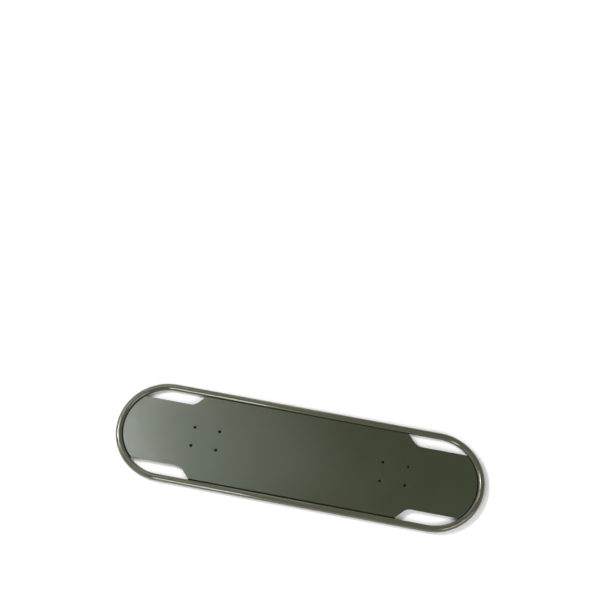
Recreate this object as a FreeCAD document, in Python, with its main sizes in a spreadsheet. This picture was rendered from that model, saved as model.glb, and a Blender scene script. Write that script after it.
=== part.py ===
"""Table top: a flat olive deck plate carried inside a ring of bent round tube.

Frame: millimetres, +Z up, +X along the table top, origin on the floor under its centre.
The ring is two U-shaped tube halves, butt-welded at the middle of the long sides.
The plate hangs in the ring on four seam welds laid from below, so that a narrow groove
stays open above them all round.  Four corner slots are left between plate and ring,
and two four-hole patterns in the plate take the legs.
"""
import FreeCAD, Part
import math
import os
import Sketcher

SIZES = {
    # ring of round tube
    "ring_half_straight": 288.0,    # centre of the part to the centre of an end bend
    "ring_end_radius": 101.6,       # end bend, measured on the tube's centreline
    "tube_outside": 14.5,
    "tube_wall": 1.5,
    "joint_bevel": 0.8,             # bevel on the tube ends, filled by the butt weld
    # deck plate
    "plate_thickness": 3.0,
    "plate_drop": 2.75,             # top of the tube down to the top of the plate
    "groove_gap": 1.9,              # plate edge to the inside of the tube
    "shoulder_length": 442.0,       # length over which the plate keeps its full width
    "neck_width": 138.6,            # plate width between the corner slots
    "slot_slope_run": 21.5,         # how far the slot's slanted side runs along the plate
    "slot_corner_radius": 21.0,
    "edge_round": 0.4,              # rounding of the plate's upper edges
    # leg bolt patterns
    "pattern_clear_span": 352.5,    # between the inner holes of the two patterns
    "hole_pitch_long": 53.975,
    "hole_pitch_wide": 41.275,
    "hole_diameter": 6.4,           # clearance for an M6 bolt
    # seam welds under the plate
    "weld_leg_on_plate": 3.5,
    "weld_leg_on_tube": 5.2,
    "weld_root_drop": 2.0,          # plate underside down to the bottom of the groove
}

# Lengths that follow from the sizes above, as expressions on the sheet.
TUBE_RADIUS = "sizes.tube_outside / 2"
PLATE_REACH = "(sizes.ring_end_radius - sizes.tube_outside / 2 - sizes.groove_gap)"
PLATE_BOTTOM = "(sizes.tube_outside - sizes.plate_drop - sizes.plate_thickness)"
NECK_HALF = "sizes.neck_width / 2"
SHOULDER_HALF = "sizes.shoulder_length / 2"

# Sketcher's codes: the sketch's own origin, and the points of a line, arc or circle.
ORIGIN = (-1, 1)
START, END, CENTRE = range(1, 4)


def make_sheet(doc):
    sheet = doc.addObject("Spreadsheet::Sheet", "sizes")
    for row, (alias, value) in enumerate(SIZES.items(), start=1):
        sheet.set(f"A{row}", alias)
        sheet.set(f"B{row}", str(value))
        sheet.setAlias(f"B{row}", alias)
    doc.recompute()
    return sheet


def new_body(doc, label):
    body = doc.addObject("PartDesign::Body", label)
    body.Label = label
    return body


def new_sketch(body, name, role, height=None):
    """A sketch on one of the body's own origin planes, raised to a height if one is given."""
    plane = next(f for f in body.Origin.OriginFeatures if f.Role == role)
    sketch = body.newObject("Sketcher::SketchObject", name)
    sketch.AttachmentSupport = [(plane, "")]
    sketch.MapMode = "FlatFace"
    if height:
        sketch.setExpression("AttachmentOffset.Base.z", height)
    return sketch


def point(x, y):
    return FreeCAD.Vector(x, y, 0)


def line(sketch, start, end):
    return sketch.addGeometry(Part.LineSegment(point(*start), point(*end)), False)


def arc_between(sketch, centre, start, end):
    """The shorter arc about a centre, with its ends that lie at start and at end."""
    first = math.atan2(start[1] - centre[1], start[0] - centre[0])
    last = math.atan2(end[1] - centre[1], end[0] - centre[0])
    circle = Part.Circle(point(*centre), FreeCAD.Vector(0, 0, 1), math.dist(centre, start))
    if (last - first) % (2 * math.pi) < math.pi:
        return sketch.addGeometry(Part.ArcOfCircle(circle, first, last), False), START, END
    return sketch.addGeometry(Part.ArcOfCircle(circle, last, first), False), END, START


def join(sketch, first, first_end, second, second_end):
    sketch.addConstraint(Sketcher.Constraint("Coincident", first, first_end, second, second_end))


def value_of(sketch, expression):
    """The present value of an expression on the sheet, used to draw a sketch near its answer."""
    return float(sketch.evalExpression(expression))


def bind(sketch, kind, *refs, expression):
    """Add a dimension and tie its value to an expression on the sheet."""
    value = value_of(sketch, expression)
    index = sketch.addConstraint(Sketcher.Constraint(kind, *refs, value))
    sketch.setExpression(f"Constraints[{index}]", expression)


def bind_offset(sketch, kind, geometry, end, side, expression):
    """Distance of a point from the origin along one axis, on the positive or negative side."""
    if side > 0:
        bind(sketch, kind, *ORIGIN, geometry, end, expression=expression)
    else:
        bind(sketch, kind, geometry, end, *ORIGIN, expression=expression)


def tube_path(body, side):
    """Half of the ring's centreline: straight, end bend, straight."""
    sketch = new_sketch(body, f"{body.Name}_path", "XY_Plane", TUBE_RADIUS)
    run = value_of(sketch, "sizes.ring_half_straight")
    bend = value_of(sketch, "sizes.ring_end_radius")
    back = line(sketch, (0, bend), (side * run, bend))
    circle = Part.Circle(point(side * run, 0), FreeCAD.Vector(0, 0, 1), bend)
    start_angle = -math.pi / 2 if side > 0 else math.pi / 2
    arc = sketch.addGeometry(Part.ArcOfCircle(circle, start_angle, start_angle + math.pi), False)
    front = line(sketch, (side * run, -bend), (0, -bend))
    arc_back, arc_front = (END, START) if side > 0 else (START, END)
    sketch.addConstraint(Sketcher.Constraint("Tangent", back, END, arc, arc_back))
    sketch.addConstraint(Sketcher.Constraint("Tangent", arc, arc_front, front, START))
    sketch.addConstraint(Sketcher.Constraint("Horizontal", back))
    sketch.addConstraint(Sketcher.Constraint("PointOnObject", arc, CENTRE, -1))
    sketch.addConstraint(Sketcher.Constraint("PointOnObject", back, START, -2))
    sketch.addConstraint(Sketcher.Constraint("PointOnObject", front, END, -2))
    bind(sketch, "Radius", arc, expression="sizes.ring_end_radius")
    bind_offset(sketch, "DistanceX", arc, CENTRE, side, "sizes.ring_half_straight")
    return sketch


def tube_section(body):
    """The tube's wall where the path starts, square to the path."""
    sketch = new_sketch(body, f"{body.Name}_section", "YZ_Plane")
    centre = (value_of(sketch, "sizes.ring_end_radius"), value_of(sketch, TUBE_RADIUS))
    for radius in (TUBE_RADIUS, f"{TUBE_RADIUS} - sizes.tube_wall"):
        circle = Part.Circle(point(*centre), FreeCAD.Vector(0, 0, 1), value_of(sketch, radius))
        index = sketch.addGeometry(circle, False)
        bind(sketch, "Radius", index, expression=radius)
        bind(sketch, "DistanceX", *ORIGIN, index, CENTRE, expression="sizes.ring_end_radius")
        bind(sketch, "DistanceY", *ORIGIN, index, CENTRE, expression=TUBE_RADIUS)
    return sketch


def outer_end_edges(shape, radius):
    """The outer rims of the tube's two cut ends."""
    names = []
    for number, edge in enumerate(shape.Edges, start=1):
        circular = isinstance(edge.Curve, Part.Circle) and edge.isClosed()
        if circular and abs(edge.Curve.Radius - radius) < 1e-6 and abs(edge.CenterOfMass.x) < 1e-6:
            names.append(f"Edge{number}")
    return names


def rim_half(doc, label, side):
    """One U-bent half of the ring, hollow, with bevelled ends for the butt welds."""
    body = new_body(doc, label)
    path = tube_path(body, side)
    section = tube_section(body)
    doc.recompute()
    tube = body.newObject("PartDesign::AdditivePipe", f"{label}_tube")
    tube.Profile = section
    tube.Spine = (path, [f"Edge{number}" for number in range(1, len(path.Shape.Edges) + 1)])
    doc.recompute()
    bevel = body.newObject("PartDesign::Chamfer", f"{label}_bevel")
    radius = value_of(section, TUBE_RADIUS)
    bevel.Base = (tube, outer_end_edges(tube.Shape, radius))
    bevel.setExpression("Size", "sizes.joint_bevel")
    body.Tip = bevel
    doc.recompute()
    return body


def rim_butt_weld(doc, label, side):
    """Weld that fills the bevels where the two tube halves meet, ground flush."""
    body = new_body(doc, label)
    sketch = new_sketch(body, f"{label}_section", "XY_Plane", TUBE_RADIUS)
    axis_reach = value_of(sketch, "sizes.ring_end_radius")
    crest = axis_reach + value_of(sketch, TUBE_RADIUS)
    bevel = value_of(sketch, "sizes.joint_bevel")
    top = line(sketch, (-bevel, side * crest), (bevel, side * crest))
    right = line(sketch, (bevel, side * crest), (0, side * (crest - bevel)))
    left = line(sketch, (0, side * (crest - bevel)), (-bevel, side * crest))
    axis = line(sketch, (-1, side * axis_reach), (1, side * axis_reach))
    sketch.setConstruction(axis, True)
    join(sketch, top, END, right, START)
    join(sketch, right, END, left, START)
    join(sketch, left, END, top, START)
    sketch.addConstraint(Sketcher.Constraint("Symmetric", top, START, top, END, -2))
    sketch.addConstraint(Sketcher.Constraint("PointOnObject", right, END, -2))
    sketch.addConstraint(Sketcher.Constraint("Symmetric", axis, START, axis, END, -2))
    bind(sketch, "DistanceX", top, START, top, END, expression="2 * sizes.joint_bevel")
    bind(sketch, "DistanceX", axis, START, axis, END, expression="2 * sizes.joint_bevel")
    crest_at = f"sizes.ring_end_radius + {TUBE_RADIUS}"
    bind_offset(sketch, "DistanceY", top, START, side, crest_at)
    bind_offset(sketch, "DistanceY", right, END, side, f"{crest_at} - sizes.joint_bevel")
    bind_offset(sketch, "DistanceY", axis, START, side, "sizes.ring_end_radius")
    ring = body.newObject("PartDesign::Revolution", f"{label}_ring")
    ring.Profile = sketch
    ring.ReferenceAxis = (sketch, ["Axis0"])
    ring.Angle = 360.0
    doc.recompute()
    return body


def plate_outline(body):
    """Full outline of the plate before its corners are cut: two straights and two ends."""
    sketch = new_sketch(body, "plate_outline", "XY_Plane", PLATE_BOTTOM)
    run = value_of(sketch, "sizes.ring_half_straight")
    reach = value_of(sketch, PLATE_REACH)
    quarter = math.pi / 2
    up = FreeCAD.Vector(0, 0, 1)
    back = line(sketch, (run, reach), (-run, reach))
    left_circle = Part.Circle(point(-run, 0), up, reach)
    left = sketch.addGeometry(Part.ArcOfCircle(left_circle, quarter, 3 * quarter), False)
    front = line(sketch, (-run, -reach), (run, -reach))
    right_circle = Part.Circle(point(run, 0), up, reach)
    right = sketch.addGeometry(Part.ArcOfCircle(right_circle, -quarter, quarter), False)
    loop = (back, left, front, right)
    for first, second in zip(loop, loop[1:] + loop[:1]):
        sketch.addConstraint(Sketcher.Constraint("Tangent", first, END, second, START))
    sketch.addConstraint(Sketcher.Constraint("Horizontal", back))
    sketch.addConstraint(Sketcher.Constraint("Symmetric", left, CENTRE, right, CENTRE, *ORIGIN))
    sketch.addConstraint(Sketcher.Constraint("PointOnObject", right, CENTRE, -1))
    bind(sketch, "Radius", right, expression=PLATE_REACH)
    bind(sketch, "DistanceX", *ORIGIN, right, CENTRE, expression="sizes.ring_half_straight")
    return sketch


def draw_corner_slot(sketch, side_x, side_y):
    """One corner cut-out: slanted side, rounded corner, straight edge, and past the outline."""
    shoulder = value_of(sketch, SHOULDER_HALF)
    neck = value_of(sketch, NECK_HALF)
    reach = value_of(sketch, PLATE_REACH)
    run = value_of(sketch, "sizes.slot_slope_run")
    radius = value_of(sketch, "sizes.slot_corner_radius")
    outer_x = value_of(sketch, "sizes.ring_half_straight + sizes.ring_end_radius")
    outer_y = value_of(sketch, "sizes.ring_end_radius")
    slope = math.atan2(reach - neck, run)
    tangent = radius * math.tan(slope / 2)
    root_x = shoulder + run

    def at(x, y):
        return (side_x * x, side_y * y)

    top = at(shoulder - (outer_y - reach) / math.tan(slope), outer_y)
    bend_start = at(root_x - tangent * math.cos(slope), neck + tangent * math.sin(slope))
    bend_end = at(root_x + tangent, neck)
    bend_centre = at(root_x + tangent, neck + radius)
    slant = line(sketch, top, bend_start)
    bend, bend_in, bend_out = arc_between(sketch, bend_centre, bend_start, bend_end)
    edge = line(sketch, bend_end, at(outer_x, neck))
    side = line(sketch, at(outer_x, neck), at(outer_x, outer_y))
    past = line(sketch, at(outer_x, outer_y), top)
    sketch.addConstraint(Sketcher.Constraint("Tangent", slant, END, bend, bend_in))
    sketch.addConstraint(Sketcher.Constraint("Tangent", bend, bend_out, edge, START))
    join(sketch, edge, END, side, START)
    join(sketch, side, END, past, START)
    join(sketch, past, END, slant, START)
    sketch.addConstraint(Sketcher.Constraint("Horizontal", edge))
    sketch.addConstraint(Sketcher.Constraint("Vertical", side))
    sketch.addConstraint(Sketcher.Constraint("Horizontal", past))
    bind(sketch, "Radius", bend, expression="sizes.slot_corner_radius")
    bind_offset(sketch, "DistanceY", edge, END, side_y, NECK_HALF)
    outer_reach = "sizes.ring_half_straight + sizes.ring_end_radius"
    bind_offset(sketch, "DistanceX", edge, END, side_x, outer_reach)
    bind_offset(sketch, "DistanceY", side, END, side_y, "sizes.ring_end_radius")
    # the slant runs through the shoulder on the plate's edge and the foot on the slot's edge
    for name, x, y in (("shoulder", SHOULDER_HALF, PLATE_REACH),
                       ("foot", f"{SHOULDER_HALF} + sizes.slot_slope_run", NECK_HALF)):
        start = at(value_of(sketch, x), value_of(sketch, y))
        mark = sketch.addGeometry(Part.Point(point(*start)), True)
        sketch.addConstraint(Sketcher.Constraint("PointOnObject", mark, START, slant))
        bind_offset(sketch, "DistanceX", mark, START, side_x, x)
        bind_offset(sketch, "DistanceY", mark, START, side_y, y)


def draw_bolt_holes(sketch):
    """Eight leg bolt holes: a rectangle of four near each end."""
    radius = "sizes.hole_diameter / 2"
    inner = "sizes.pattern_clear_span / 2"
    wide = "sizes.hole_pitch_wide / 2"
    for side_x in (1, -1):
        for side_y in (1, -1):
            for along in (inner, f"{inner} + sizes.hole_pitch_long"):
                centre = point(side_x * value_of(sketch, along), side_y * value_of(sketch, wide))
                circle = Part.Circle(centre, FreeCAD.Vector(0, 0, 1), value_of(sketch, radius))
                index = sketch.addGeometry(circle, False)
                bind(sketch, "Radius", index, expression=radius)
                bind_offset(sketch, "DistanceX", index, CENTRE, side_x, along)
                bind_offset(sketch, "DistanceY", index, CENTRE, side_y, wide)


def top_face_edges(shape):
    """Names of the edges round the highest flat face, holes included."""
    flat = [f for f in shape.Faces if isinstance(f.Surface, Part.Plane)]
    top = max(flat, key=lambda face: face.CenterOfMass.z)
    return [f"Edge{number}" for number, edge in enumerate(shape.Edges, start=1)
            if any(edge.isSame(other) for other in top.Edges)]


def cut_through(doc, body, name, draw):
    """Cut the plate right through with a sketch that stands on its underside."""
    before = body.Shape.Volume
    sketch = new_sketch(body, f"{name}_sketch", "XY_Plane", PLATE_BOTTOM)
    draw(sketch)
    doc.recompute()
    cut = body.newObject("PartDesign::Pocket", name)
    cut.Profile = sketch
    cut.setExpression("Length", "sizes.plate_thickness")
    cut.Reversed = True
    doc.recompute()
    if not body.Shape.Volume < before:
        raise RuntimeError(f"{name} cuts nothing")


def deck_plate(doc, label):
    """Flat plate with four corner slots and eight leg bolt holes."""
    body = new_body(doc, label)
    outline = plate_outline(body)
    blank = body.newObject("PartDesign::Pad", "plate_blank")
    blank.Profile = outline
    blank.setExpression("Length", "sizes.plate_thickness")
    doc.recompute()

    def draw_slots(sketch):
        for side_x in (1, -1):
            for side_y in (1, -1):
                draw_corner_slot(sketch, side_x, side_y)

    cut_through(doc, body, "corner_slots", draw_slots)
    cut_through(doc, body, "leg_bolt_holes", draw_bolt_holes)
    cut_plate = body.Tip
    rounding = body.newObject("PartDesign::Fillet", "upper_edges")
    rounding.Base = (cut_plate, top_face_edges(cut_plate.Shape))
    rounding.setExpression("Radius", "sizes.edge_round")
    body.Tip = rounding
    doc.recompute()
    return body


def draw_weld_section(sketch, side, centre_offset=""):
    """Weld section: along the plate's underside, across the groove and down the tube's side.

    Distances along the sketch's first axis are measured out from the ring's centreline
    straight or from the centre of an end bend, which lies centre_offset from the origin.
    """
    offset = f"{centre_offset} + " if centre_offset else ""
    shift = value_of(sketch, centre_offset) if centre_offset else 0.0
    tube_x = value_of(sketch, "sizes.ring_end_radius")
    tube_r = value_of(sketch, TUBE_RADIUS)
    edge_x = value_of(sketch, PLATE_REACH)
    under = value_of(sketch, PLATE_BOTTOM)
    leg = value_of(sketch, "sizes.weld_leg_on_plate")
    root_z = under - value_of(sketch, "sizes.weld_root_drop")
    toe_z = under - value_of(sketch, "sizes.weld_leg_on_tube")

    def on_tube(height):
        return tube_x - math.sqrt(tube_r ** 2 - (height - tube_r) ** 2)

    def at(x, y):
        return (side * (shift + x), y)

    plate_toe = at(edge_x - leg, under)
    plate_corner = at(edge_x, under)
    root = at(on_tube(root_z), root_z)
    tube_toe = at(on_tube(toe_z), toe_z)
    under_plate = line(sketch, plate_toe, plate_corner)
    groove_floor = line(sketch, plate_corner, root)
    seat, seat_root, seat_toe = arc_between(sketch, at(tube_x, tube_r), root, tube_toe)
    face = line(sketch, tube_toe, plate_toe)
    join(sketch, under_plate, END, groove_floor, START)
    join(sketch, groove_floor, END, seat, seat_root)
    join(sketch, seat, seat_toe, face, START)
    join(sketch, face, END, under_plate, START)
    sketch.addConstraint(Sketcher.Constraint("Horizontal", under_plate))
    bind(sketch, "Radius", seat, expression=TUBE_RADIUS)
    bind_offset(sketch, "DistanceX", seat, CENTRE, side, f"{offset}sizes.ring_end_radius")
    bind(sketch, "DistanceY", *ORIGIN, seat, CENTRE, expression=TUBE_RADIUS)
    bind_offset(sketch, "DistanceX", under_plate, END, side, offset + PLATE_REACH)
    bind(sketch, "DistanceY", *ORIGIN, under_plate, END, expression=PLATE_BOTTOM)
    toe_at = f"{offset}{PLATE_REACH} - sizes.weld_leg_on_plate"
    bind_offset(sketch, "DistanceX", under_plate, START, side, toe_at)
    bind(sketch, "DistanceY", *ORIGIN, groove_floor, END,
         expression=f"{PLATE_BOTTOM} - sizes.weld_root_drop")
    bind(sketch, "DistanceY", *ORIGIN, face, START,
         expression=f"{PLATE_BOTTOM} - sizes.weld_leg_on_tube")


def straight_seam_weld(doc, label, side):
    """Seam weld along one long side of the plate, from shoulder to shoulder."""
    body = new_body(doc, label)
    sketch = new_sketch(body, f"{label}_section", "YZ_Plane")
    draw_weld_section(sketch, side)
    bead = body.newObject("PartDesign::Pad", f"{label}_bead")
    bead.Profile = sketch
    bead.setExpression("Length", "sizes.shoulder_length")
    bead.Midplane = True
    doc.recompute()
    return body


def end_seam_weld(doc, label, side):
    """Seam weld round one end of the plate, between the two slots there."""
    body = new_body(doc, label)
    sketch = new_sketch(body, f"{label}_section", "XZ_Plane")
    draw_weld_section(sketch, side, "sizes.ring_half_straight")
    run = side * value_of(sketch, "sizes.ring_half_straight")
    height = value_of(sketch, "sizes.tube_outside")
    axis = line(sketch, (run, 0), (run, height))
    sketch.setConstruction(axis, True)
    sketch.addConstraint(Sketcher.Constraint("Vertical", axis))
    sketch.addConstraint(Sketcher.Constraint("PointOnObject", axis, START, -1))
    bind_offset(sketch, "DistanceX", axis, START, side, "sizes.ring_half_straight")
    bind(sketch, "DistanceY", axis, START, axis, END, expression="sizes.tube_outside")
    bead = body.newObject("PartDesign::Revolution", f"{label}_bead")
    bead.Profile = sketch
    bead.ReferenceAxis = (sketch, ["Axis0"])
    bead.setExpression("Angle", f"2 * asin({NECK_HALF} / {PLATE_REACH})")
    bead.Midplane = True
    doc.recompute()
    return body


def build(doc):
    make_sheet(doc)
    bodies = [deck_plate(doc, "deck_plate")]
    for name, side in (("right", 1), ("left", -1)):
        bodies.append(rim_half(doc, f"rim_{name}_half", side))
        bodies.append(end_seam_weld(doc, f"{name}_end_seam_weld", side))
    for name, side in (("back", 1), ("front", -1)):
        bodies.append(rim_butt_weld(doc, f"{name}_rim_butt_weld", side))
        bodies.append(straight_seam_weld(doc, f"{name}_seam_weld", side))
    return bodies


def check(doc, bodies):
    """Stop if any feature failed or any piece is not one valid closed solid."""
    for item in doc.Objects:
        if "Invalid" in item.State or "Error" in item.State:
            raise RuntimeError(f"{item.Label} failed: {item.State}")
    for body in bodies:
        shape = body.Shape
        if shape.isNull() or not shape.isValid() or len(shape.Solids) != 1:
            raise RuntimeError(f"{body.Label} is not one valid solid")


def main():
    doc = FreeCAD.newDocument("table_top")
    bodies = build(doc)
    doc.recompute()
    check(doc, bodies)
    os.makedirs("parts", exist_ok=True)
    for body in bodies:
        body.Shape.exportStep(f"parts/{body.Label}.step")
        box = body.Shape.optimalBoundingBox()
        print(f"{body.Label}: {body.Shape.Volume:.1f} mm3, "
              f"x {box.XMin:.2f}..{box.XMax:.2f}, y {box.YMin:.2f}..{box.YMax:.2f}, "
              f"z {box.ZMin:.2f}..{box.ZMax:.2f}")


main()
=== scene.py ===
"""Looks of the round-ended table top: paint, weld beads, floor, lamps and camera.

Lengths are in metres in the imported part's own frame: +X along the table top, +Z up,
origin on the floor under its centre.
"""
import math

import bmesh
import bpy
from mathutils import Matrix, Vector


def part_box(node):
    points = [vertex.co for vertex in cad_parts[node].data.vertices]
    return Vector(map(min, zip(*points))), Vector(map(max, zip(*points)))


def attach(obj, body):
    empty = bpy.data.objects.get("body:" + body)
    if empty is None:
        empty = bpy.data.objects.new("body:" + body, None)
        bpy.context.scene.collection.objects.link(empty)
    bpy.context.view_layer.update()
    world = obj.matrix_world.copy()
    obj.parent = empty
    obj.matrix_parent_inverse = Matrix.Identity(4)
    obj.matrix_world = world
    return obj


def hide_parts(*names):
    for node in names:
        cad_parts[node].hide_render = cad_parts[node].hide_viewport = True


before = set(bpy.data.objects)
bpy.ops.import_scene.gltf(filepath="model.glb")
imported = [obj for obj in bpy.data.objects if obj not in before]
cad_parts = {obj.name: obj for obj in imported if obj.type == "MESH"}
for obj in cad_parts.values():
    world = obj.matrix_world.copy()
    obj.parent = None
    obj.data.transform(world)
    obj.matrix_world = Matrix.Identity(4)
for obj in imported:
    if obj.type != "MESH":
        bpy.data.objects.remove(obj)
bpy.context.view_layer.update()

MM = 0.001
BODY = "root"

# ---------------------------------------------------------------- sizes read from the frame

RIM_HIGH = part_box("rim_right_half")[1]
JOINT_LOW, JOINT_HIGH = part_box("back_rim_butt_weld")
PLATE_LOW, PLATE_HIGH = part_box("deck_plate")
BEAD_LOW, BEAD_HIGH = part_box("back_seam_weld")
END_BEAD_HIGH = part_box("right_end_seam_weld")[1]

TUBE_RADIUS = (JOINT_HIGH.y - JOINT_LOW.y) / 2
RING_RADIUS = JOINT_HIGH.y - TUBE_RADIUS                # end bend, on the tube's centreline
RING_HALF_STRAIGHT = RIM_HIGH.x - JOINT_HIGH.y          # part's centre to an end bend's centre
PLATE_REACH = PLATE_HIGH.y
PLATE_TOP = PLATE_HIGH.z
PLATE_UNDER = PLATE_LOW.z
SHOULDER_HALF = BEAD_HIGH.x
BEAD_TOE_ON_PLATE = BEAD_LOW.y
BEAD_TOE_HEIGHT = BEAD_LOW.z
BEAD_ROOT_DROP = 2.0 * MM       # plate underside down to the bottom of the groove
END_BEAD_HALF_ANGLE = math.asin(END_BEAD_HIGH.y / BEAD_HIGH.y)

# ---------------------------------------------------------------- node helpers


def new_material(name):
    material = bpy.data.materials.new(name)
    material.use_nodes = True
    tree = material.node_tree
    tree.nodes.clear()
    output = tree.nodes.new("ShaderNodeOutputMaterial")
    return material, tree, output


def add(tree, kind, **settings):
    """A node with its properties and, by socket name, its input values."""
    node = tree.nodes.new(kind)
    for key, value in settings.items():
        if hasattr(node, key):
            setattr(node, key, value)
        else:
            node.inputs[key.replace("_", " ")].default_value = value
    return node


def noise(tree, vector, scale, detail):
    node = add(tree, "ShaderNodeTexNoise", Scale=scale, Detail=detail)
    tree.links.new(vector, node.inputs["Vector"])
    return node.outputs["Fac"]


def remap(tree, value, low, high, to_low, to_high):
    node = add(tree, "ShaderNodeMapRange", From_Min=low, From_Max=high, To_Min=to_low,
               To_Max=to_high)
    tree.links.new(value, node.inputs["Value"])
    return node.outputs["Result"]


def mix_colour(tree, factor, first, second):
    node = add(tree, "ShaderNodeMix", data_type="RGBA")
    for socket, value in (("Factor", factor), ("A", first), ("B", second)):
        target = next(s for s in node.inputs if s.name == socket and s.enabled)
        if isinstance(value, bpy.types.NodeSocket):
            tree.links.new(value, target)
        else:
            target.default_value = value
    return next(s for s in node.outputs if s.enabled)


def math_node(tree, operation, first, second=None):
    node = add(tree, "ShaderNodeMath", operation=operation)
    for socket, value in zip(node.inputs, (first, second)):
        if isinstance(value, bpy.types.NodeSocket):
            tree.links.new(value, socket)
        elif value is not None:
            socket.default_value = value
    return node.outputs[0]


def looking_rays(tree):
    """1 for the rays that see the background: from the camera, mirrored, or through glass."""
    rays = add(tree, "ShaderNodeLightPath")
    return math_node(tree, "MAXIMUM", rays.outputs["Is Camera Ray"],
                     math_node(tree, "MAXIMUM", rays.outputs["Is Glossy Ray"],
                               rays.outputs["Is Transmission Ray"]))


def bump(tree, height, strength, distance, normal=None):
    node = add(tree, "ShaderNodeBump", Strength=strength, Distance=distance)
    tree.links.new(height, node.inputs["Height"])
    if normal is not None:
        tree.links.new(normal, node.inputs["Normal"])
    return node.outputs["Normal"]


# ---------------------------------------------------------------- paint

COAT_IOR = 1.6
TONE_SCALE = 9.0                # noise scales are in cycles per metre
TONE_SWING = 0.05               # share by which the tone drifts up and down
SPECKLE_SCALE = 1400.0
SPECKLE_SHARE = 0.12            # how far a speckle goes to the lighter tone
GLOSS_SCALE = 35.0
GLOSS_SWING = 0.02              # how far the roughness drifts up and down
PEEL_SCALE = 900.0              # orange peel of cured powder
PEEL_STRENGTH = 0.10
PEEL_DEPTH = 0.05 * MM
GRAIN_SCALE = 2700.0            # fine grain on top of the orange peel
GRAIN_STRENGTH = 0.05
GRAIN_DEPTH = 0.02 * MM
GROOVE_SHADE_FADE = 0.4                 # upward share of the normal at which a face takes the painted groove shade

PLATE_COLOUR = (0.0405, 0.0465, 0.0290)
PLATE_ROUGHNESS = 0.17
RIM_COLOUR = (0.070, 0.071, 0.048)
RIM_ROUGHNESS = 0.09
WELD_COLOUR = (0.035, 0.040, 0.025)
# painted shade: a near-black colour that stands in for the shade down in the groove between plate
# and tube
WELD_GROOVE_PAINTED_SHADE = (0.006, 0.007, 0.0045)
WELD_ROUGHNESS = 0.45


def coat_tone(tree, place, colour):
    """Colour of the coat: a slow drift of tone with a fine speckle on it."""
    dark = tuple(c * (1 - TONE_SWING) for c in colour) + (1.0,)
    light = tuple(c * (1 + TONE_SWING) for c in colour) + (1.0,)
    drift = remap(tree, noise(tree, place, TONE_SCALE, detail=3.0), 0.3, 0.7, 0.0, 1.0)
    speckle = remap(tree, noise(tree, place, SPECKLE_SCALE, detail=1.0), 0.35, 0.75, 0.0,
                    SPECKLE_SHARE)
    return mix_colour(tree, speckle, mix_colour(tree, drift, dark, light), light)


def painted_groove_shade(tree, tone, root):
    """Painted shade: a dark colour on faces that look up out of the groove, where shade falls, and
    the tone elsewhere.
    """
    up = add(tree, "ShaderNodeSeparateXYZ")
    tree.links.new(add(tree, "ShaderNodeNewGeometry").outputs["Normal"], up.inputs[0])
    share = remap(tree, up.outputs["Z"], 0.0, GROOVE_SHADE_FADE, 0.0, 1.0)
    return mix_colour(tree, share, tone, root + (1.0,))


def coat_paint(name, colour, roughness, root=None):
    """Olive powder coat: slow tone drift, fine speckle, and the orange peel of cured powder.

    Root is a painted shade for the faces down in a groove: a dark colour that stands in for the
    shade there.
    """
    material, tree, output = new_material(name)
    place = add(tree, "ShaderNodeTexCoord").outputs["Object"]
    shader = add(tree, "ShaderNodeBsdfPrincipled", IOR=COAT_IOR)
    tone = coat_tone(tree, place, colour)
    # faces looking up out of the groove take a painted shade instead of the coat's tone
    if root is not None:
        tone = painted_groove_shade(tree, tone, root)
    tree.links.new(tone, shader.inputs["Base Color"])
    rough = remap(tree, noise(tree, place, GLOSS_SCALE, detail=4.0), 0.3, 0.7,
                  roughness - GLOSS_SWING, roughness + GLOSS_SWING)
    tree.links.new(rough, shader.inputs["Roughness"])
    grain = bump(tree, noise(tree, place, GRAIN_SCALE, detail=1.0), GRAIN_STRENGTH, GRAIN_DEPTH)
    peel = bump(tree, noise(tree, place, PEEL_SCALE, detail=2.0), PEEL_STRENGTH, PEEL_DEPTH, grain)
    tree.links.new(peel, shader.inputs["Normal"])
    tree.links.new(shader.outputs[0], output.inputs["Surface"])
    return material


def paint_cad_nodes():
    plate_paint = coat_paint("deck_powder_coat", PLATE_COLOUR, PLATE_ROUGHNESS)
    rim_paint = coat_paint("rim_powder_coat", RIM_COLOUR, RIM_ROUGHNESS)
    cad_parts["deck_plate"].data.materials[0] = plate_paint
    for name in ("rim_left_half", "rim_right_half", "front_rim_butt_weld", "back_rim_butt_weld"):
        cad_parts[name].data.materials[0] = rim_paint


# ---------------------------------------------------------------- floor

FLOOR_RADIUS = 1.7
FLOOR_CORNERS = 96
FLOOR_COLOUR = (0.80, 0.80, 0.80, 1.0)          # as it lights the part
FLOOR_SEEN = (0.935, 0.925, 0.990, 1.0)         # as it is seen around the part
FAR_FLOOR_SEEN = (1.9, 1.9, 1.9, 1.0)           # as it is seen further out
FAR_FLOOR = (0.118, 0.400)      # distances from the spine between which it takes over
SHADOW_SIDE = (0.014, -0.020)   # the spine is moved this far towards the shadow


def distance_from_ring(tree):
    """Distance on the floor from the ring's spine, which joins the end bends' centres."""
    place = add(tree, "ShaderNodeSeparateXYZ")
    tree.links.new(add(tree, "ShaderNodeTexCoord").outputs["Object"], place.inputs[0])
    shift_x, shift_y = SHADOW_SIDE
    x = math_node(tree, "SUBTRACT", place.outputs["X"], shift_x)
    y = math_node(tree, "SUBTRACT", place.outputs["Y"], shift_y)
    along = math_node(tree, "ABSOLUTE", x)
    beyond = math_node(tree, "MAXIMUM", math_node(tree, "SUBTRACT", along, RING_HALF_STRAIGHT),
                       0.0)
    squares = math_node(tree, "ADD", math_node(tree, "MULTIPLY", beyond, beyond),
                        math_node(tree, "MULTIPLY", y, y))
    return math_node(tree, "SQRT", squares)


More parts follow.
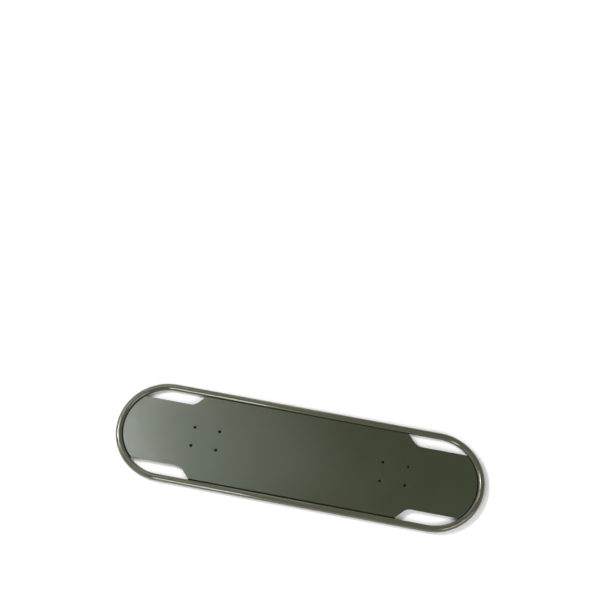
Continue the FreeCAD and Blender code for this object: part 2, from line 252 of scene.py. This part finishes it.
def floor_material():
    """White studio floor: overexposed where it is seen, so it is white but keeps the shadows.

    The overexposure grows away from the part, where there is no shadow left to keep.
    """
    material, tree, output = new_material("studio_floor")
    plain = add(tree, "ShaderNodeBsdfDiffuse", Color=FLOOR_COLOUR)
    bright = add(tree, "ShaderNodeBsdfDiffuse")
    far = remap(tree, distance_from_ring(tree), *FAR_FLOOR, 0.0, 1.0)
    tree.links.new(mix_colour(tree, far, FLOOR_SEEN, FAR_FLOOR_SEEN), bright.inputs["Color"])
    seen = add(tree, "ShaderNodeMixShader")
    tree.links.new(looking_rays(tree), seen.inputs[0])
    tree.links.new(plain.outputs[0], seen.inputs[1])
    tree.links.new(bright.outputs[0], seen.inputs[2])
    tree.links.new(seen.outputs[0], output.inputs["Surface"])
    return material


def make_floor():
    mesh = bpy.data.meshes.new("studio_floor")
    corners = [(FLOOR_RADIUS * math.cos(2 * math.pi * i / FLOOR_CORNERS),
                FLOOR_RADIUS * math.sin(2 * math.pi * i / FLOOR_CORNERS), 0)
               for i in range(FLOOR_CORNERS)]
    mesh.from_pydata(corners, [], [tuple(range(FLOOR_CORNERS))])
    floor = bpy.data.objects.new("studio_floor", mesh)
    bpy.context.scene.collection.objects.link(floor)
    mesh.materials.append(floor_material())


# ---------------------------------------------------------------- lamps and world

SKY_LIGHT = 0.05
BACKDROP_TOP = (0.25, 0.40)     # the backdrop fades between these sines of elevation


def aim(obj, place, target):
    obj.location = place
    obj.rotation_euler = (Vector(target) - Vector(place)).to_track_quat("-Z", "Y").to_euler()


# name: azimuth and elevation in degrees, distance, width, height, brightness, colour.
# Angles and distance are seen from the origin, which these lamps are turned to.
LAMPS = {
    "key": (168, 46, 3.20, 1.20, 0.50, 22, (1.00, 0.97, 0.94)),
    "key_core": (166, 46, 3.20, 0.50, 0.46, 34, (1.00, 0.97, 0.90)),
    "key_halo": (132, 71, 1.80, 0.75, 0.45, 0.88, (0.88, 1.00, 0.82)),
    "halo_left": (148, 68, 2.40, 0.30, 0.30, 5.5, (0.94, 0.99, 1.00)),
    "halo_end": (142, 63.5, 2.40, 0.20, 0.20, 4.6, (0.82, 0.92, 1.00)),
    "halo_end_back": (138, 64, 2.40, 0.20, 0.20, 2.8, (0.90, 1.00, 0.80)),
    "halo_middle": (127, 71, 2.40, 0.30, 0.30, 0.95, (0.80, 0.95, 1.00)),
    "halo_back": (126, 62, 2.40, 0.30, 0.30, 4.1, (0.92, 1.00, 0.92)),
    "back_left_window": (143, 46, 3.00, 0.50, 0.42, 13.5, (1.00, 0.96, 0.95)),
    "back_left_softbox": (124, 37, 1.50, 0.55, 0.55, 2.05, (0.94, 1.00, 0.90)),
    "front_left_softbox": (224, 40, 2.20, 0.60, 0.80, 2.1, (0.72, 0.94, 1.00)),
    "front_right_softbox": (323, 41, 2.20, 1.10, 0.52, 10.2, (1.00, 1.00, 0.88)),
    "right_softbox": (345, 40, 2.20, 0.50, 0.50, 6.9, (1.00, 0.98, 1.00)),
    "back_strip": (96, 25, 2.20, 0.38, 1.30, 1.5, (0.99, 1.00, 0.84)),
    "left_strip": (193, 16, 2.20, 0.45, 0.80, 2.1, (0.84, 1.00, 0.60)),
    "top_softbox": (120, 84, 2.20, 0.80, 0.80, 0.20, (0.90, 1.00, 0.90)),
    "front_low_box": (262, 30, 2.40, 0.30, 0.30, 5.5, (0.92, 1.00, 0.78)),
}
STRIP_TARGET = Vector((-0.455, 0.0, 0.0))       # on the front left, not at the part's centre
STRIP_PLACE = STRIP_TARGET + Vector((0.0, -1.62, 1.15))
STRIP = (0.42, 0.85, 12.3, (0.99, 1.00, 0.93))  # width, height, brightness, colour


def make_lamp(name, place, target, width, height, brightness, colour):
    """A softbox turned to its target; its radiance is its brightness."""
    lamp = bpy.data.lights.new(name, "AREA")
    lamp.shape = "RECTANGLE"
    lamp.size, lamp.size_y = width, height
    lamp.energy = brightness * math.pi * width * height
    lamp.color = colour
    obj = bpy.data.objects.new(name, lamp)
    bpy.context.scene.collection.objects.link(obj)
    aim(obj, place, target)
    obj.visible_camera = False


def around(azimuth, elevation, distance):
    level, turn = math.radians(elevation), math.radians(azimuth)
    return Vector((math.cos(level) * math.cos(turn), math.cos(level) * math.sin(turn),
                   math.sin(level))) * distance


def make_lamps():
    for name, (azimuth, elevation, distance, *settings) in LAMPS.items():
        make_lamp(name, around(azimuth, elevation, distance), (0, 0, 0), *settings)
    make_lamp("front_left_strip", STRIP_PLACE, STRIP_TARGET, *STRIP)


def make_world():
    """Plain dim sky, with a white band above the horizon for the rays that look at it."""
    world = bpy.data.worlds.new("studio")
    bpy.context.scene.world = world
    world.use_nodes = True
    tree = world.node_tree
    tree.nodes.clear()
    output = tree.nodes.new("ShaderNodeOutputWorld")
    sky = add(tree, "ShaderNodeBackground", Color=(1.0, 1.0, 1.0, 1.0), Strength=SKY_LIGHT)
    backdrop = add(tree, "ShaderNodeBackground", Color=(1.0, 1.0, 1.0, 1.0), Strength=1.0)
    direction = add(tree, "ShaderNodeSeparateXYZ")
    tree.links.new(add(tree, "ShaderNodeTexCoord").outputs["Generated"], direction.inputs[0])
    low = remap(tree, direction.outputs["Z"], *BACKDROP_TOP, 1.0, 0.0)
    mix = add(tree, "ShaderNodeMixShader")
    tree.links.new(math_node(tree, "MULTIPLY", looking_rays(tree), low), mix.inputs[0])
    tree.links.new(sky.outputs[0], mix.inputs[1])
    tree.links.new(backdrop.outputs[0], mix.inputs[2])
    tree.links.new(mix.outputs[0], output.inputs["Surface"])


# ---------------------------------------------------------------- camera

CAMERA_AZIMUTH = math.radians(9.62)
CAMERA_ELEVATION = math.radians(66.59)
CAMERA_ROLL = math.radians(1.34)
CAMERA_TARGET = Vector((-66.1 * MM, 354.2 * MM, PLATE_TOP))
CAMERA_DISTANCE = 3201.0 * MM
CAMERA_LENS_MM = 86.58
CAMERA_SENSOR_MM = 36.0


def make_camera():
    data = bpy.data.cameras.new("camera")
    data.sensor_width = CAMERA_SENSOR_MM
    data.lens = CAMERA_LENS_MM
    back = Vector((math.sin(CAMERA_AZIMUTH) * math.cos(CAMERA_ELEVATION),
                   -math.cos(CAMERA_AZIMUTH) * math.cos(CAMERA_ELEVATION),
                   math.sin(CAMERA_ELEVATION)))
    right = (-back).cross(Vector((0, 0, 1))).normalized()
    up = right.cross(-back)
    rolled_right = math.cos(CAMERA_ROLL) * right + math.sin(CAMERA_ROLL) * up
    rolled_up = -math.sin(CAMERA_ROLL) * right + math.cos(CAMERA_ROLL) * up
    place = CAMERA_TARGET + back * CAMERA_DISTANCE
    turn = Matrix((rolled_right, rolled_up, back)).transposed().to_4x4()
    camera = bpy.data.objects.new("camera", data)
    camera.matrix_world = Matrix.Translation(place) @ turn
    bpy.context.scene.collection.objects.link(camera)
    bpy.context.scene.camera = camera


# ---------------------------------------------------------------- weld beads

BEAD_STEP = 0.6 * MM            # length of one mesh step along a bead
RIPPLE_PITCH = 2.4 * MM         # one weld ripple
RIPPLE_HEIGHT = 0.16 * MM
RIPPLE_BOW = 1.1 * MM           # how far a ripple's middle runs ahead of its ends
FACE_CROWN = 0.35 * MM          # bulge of the bead's face
ROOT_NORMAL = Vector((0.6, 0.8))
WANDER = 0.25                   # share by which ripples differ, in two slow waves
WANDER_LONG = 17 * MM
WANDER_SHORT = 7.3 * MM
STEEP_FLANK = 0.25              # share of a ripple's pitch that its steep flank takes
FACE_STEPS = 10
SEAT_STEPS = 5
ROOT_STEPS = 5


def bead_section():
    """Closed outline of a bead: each point with its outward normal and its share of the ripple.

    A point is (reach, height), with the reach measured from the line or the axis that the
    ring's centreline runs along or round.
    """
    def on_tube(height):
        return RING_RADIUS - math.sqrt(TUBE_RADIUS ** 2 - (height - TUBE_RADIUS) ** 2)

    plate_toe = Vector((BEAD_TOE_ON_PLATE, PLATE_UNDER))
    plate_corner = Vector((PLATE_REACH, PLATE_UNDER))
    root_height = PLATE_UNDER - BEAD_ROOT_DROP
    root = Vector((on_tube(root_height), root_height))
    tube_toe = Vector((on_tube(BEAD_TOE_HEIGHT), BEAD_TOE_HEIGHT))
    section = [(plate_toe, Vector((0, 1)), 0.0)]
    for i in range(ROOT_STEPS + 1):
        t = i / ROOT_STEPS
        section.append((plate_corner.lerp(root, t), ROOT_NORMAL, math.sin(math.pi * t)))
    for i in range(1, SEAT_STEPS):
        height = root_height + (BEAD_TOE_HEIGHT - root_height) * i / SEAT_STEPS
        section.append((Vector((on_tube(height), height)), Vector((1, 0)), 0.0))
    along = plate_toe - tube_toe
    face_normal = Vector((along.y, -along.x)).normalized()
    if face_normal.y > 0:
        face_normal = -face_normal
    for i in range(FACE_STEPS):
        t = i / FACE_STEPS
        swell = math.sin(math.pi * t)
        place = tube_toe.lerp(plate_toe, t) + face_normal * FACE_CROWN * swell
        section.append((place, face_normal, swell))
    return section


def ripple(distance, swell):
    """Height of the weld ripples at a distance along the bead: a steep and a slow flank."""
    phase = ((distance - RIPPLE_BOW * swell) / RIPPLE_PITCH) % 1.0
    waves = math.sin(distance / WANDER_LONG) * math.cos(distance / WANDER_SHORT)
    crest = math.sin(math.pi * min(1.0, phase / STEEP_FLANK)) ** 0.5
    return RIPPLE_HEIGHT * swell * (1 - WANDER + WANDER * waves) * (1 - phase) * crest


def bead_mesh(name, length, place_at):
    """Sweep the bead's section; place_at(distance, reach) gives the point's x and y."""
    section = bead_section()
    steps = max(2, round(length / BEAD_STEP))
    verts, faces = [], []
    for j in range(steps + 1):
        distance = length * j / steps
        for point, normal, swell in section:
            rise = ripple(distance, swell)
            reach = point.x + normal.x * rise
            x, y = place_at(distance, reach)
            verts.append((x, y, point.y + normal.y * rise))
    count = len(section)
    for j in range(steps):
        for i in range(count):
            k = (i + 1) % count
            faces.append((j * count + i, j * count + k, (j + 1) * count + k, (j + 1) * count + i))
    faces.append(tuple(range(count - 1, -1, -1)))
    faces.append(tuple(steps * count + i for i in range(count)))
    mesh = bpy.data.meshes.new(name)
    mesh.from_pydata(verts, [], faces)
    mesh.update()
    for face in mesh.polygons:
        face.use_smooth = len(face.vertices) == 4
    return mesh


def make_normals_outward(mesh):
    work = bmesh.new()
    work.from_mesh(mesh)
    bmesh.ops.recalc_face_normals(work, faces=work.faces)
    work.to_mesh(mesh)
    work.free()


def make_bead(node, length, place_at, material):
    piece = bpy.data.objects.new(f"{node}_bead", bead_mesh(f"{node}_bead", length, place_at))
    bpy.context.scene.collection.objects.link(piece)
    piece.data.materials.append(material)
    make_normals_outward(piece.data)
    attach(piece, BODY)
    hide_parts(node)


def make_beads(material):
    for node, side in (("back_seam_weld", 1), ("front_seam_weld", -1)):
        def straight(distance, reach, side=side):
            return distance - SHOULDER_HALF, side * reach
        make_bead(node, 2 * SHOULDER_HALF, straight, material)
    arc_length = 2 * END_BEAD_HALF_ANGLE * PLATE_REACH
    for node, side in (("right_end_seam_weld", 1), ("left_end_seam_weld", -1)):
        def curved(distance, reach, side=side):
            angle = distance / PLATE_REACH - END_BEAD_HALF_ANGLE
            return (side * (RING_HALF_STRAIGHT + reach * math.cos(angle)), reach * math.sin(angle))
        make_bead(node, arc_length, curved, material)


# ---------------------------------------------------------------- build


scene = bpy.context.scene
scene.view_settings.view_transform = "Standard"
make_camera()
make_world()
make_lamps()
make_floor()
paint_cad_nodes()
# the weld beads carry a painted groove shade on their upward faces
make_beads(coat_paint("weld_powder_coat", WELD_COLOUR, WELD_ROUGHNESS, WELD_GROOVE_PAINTED_SHADE))
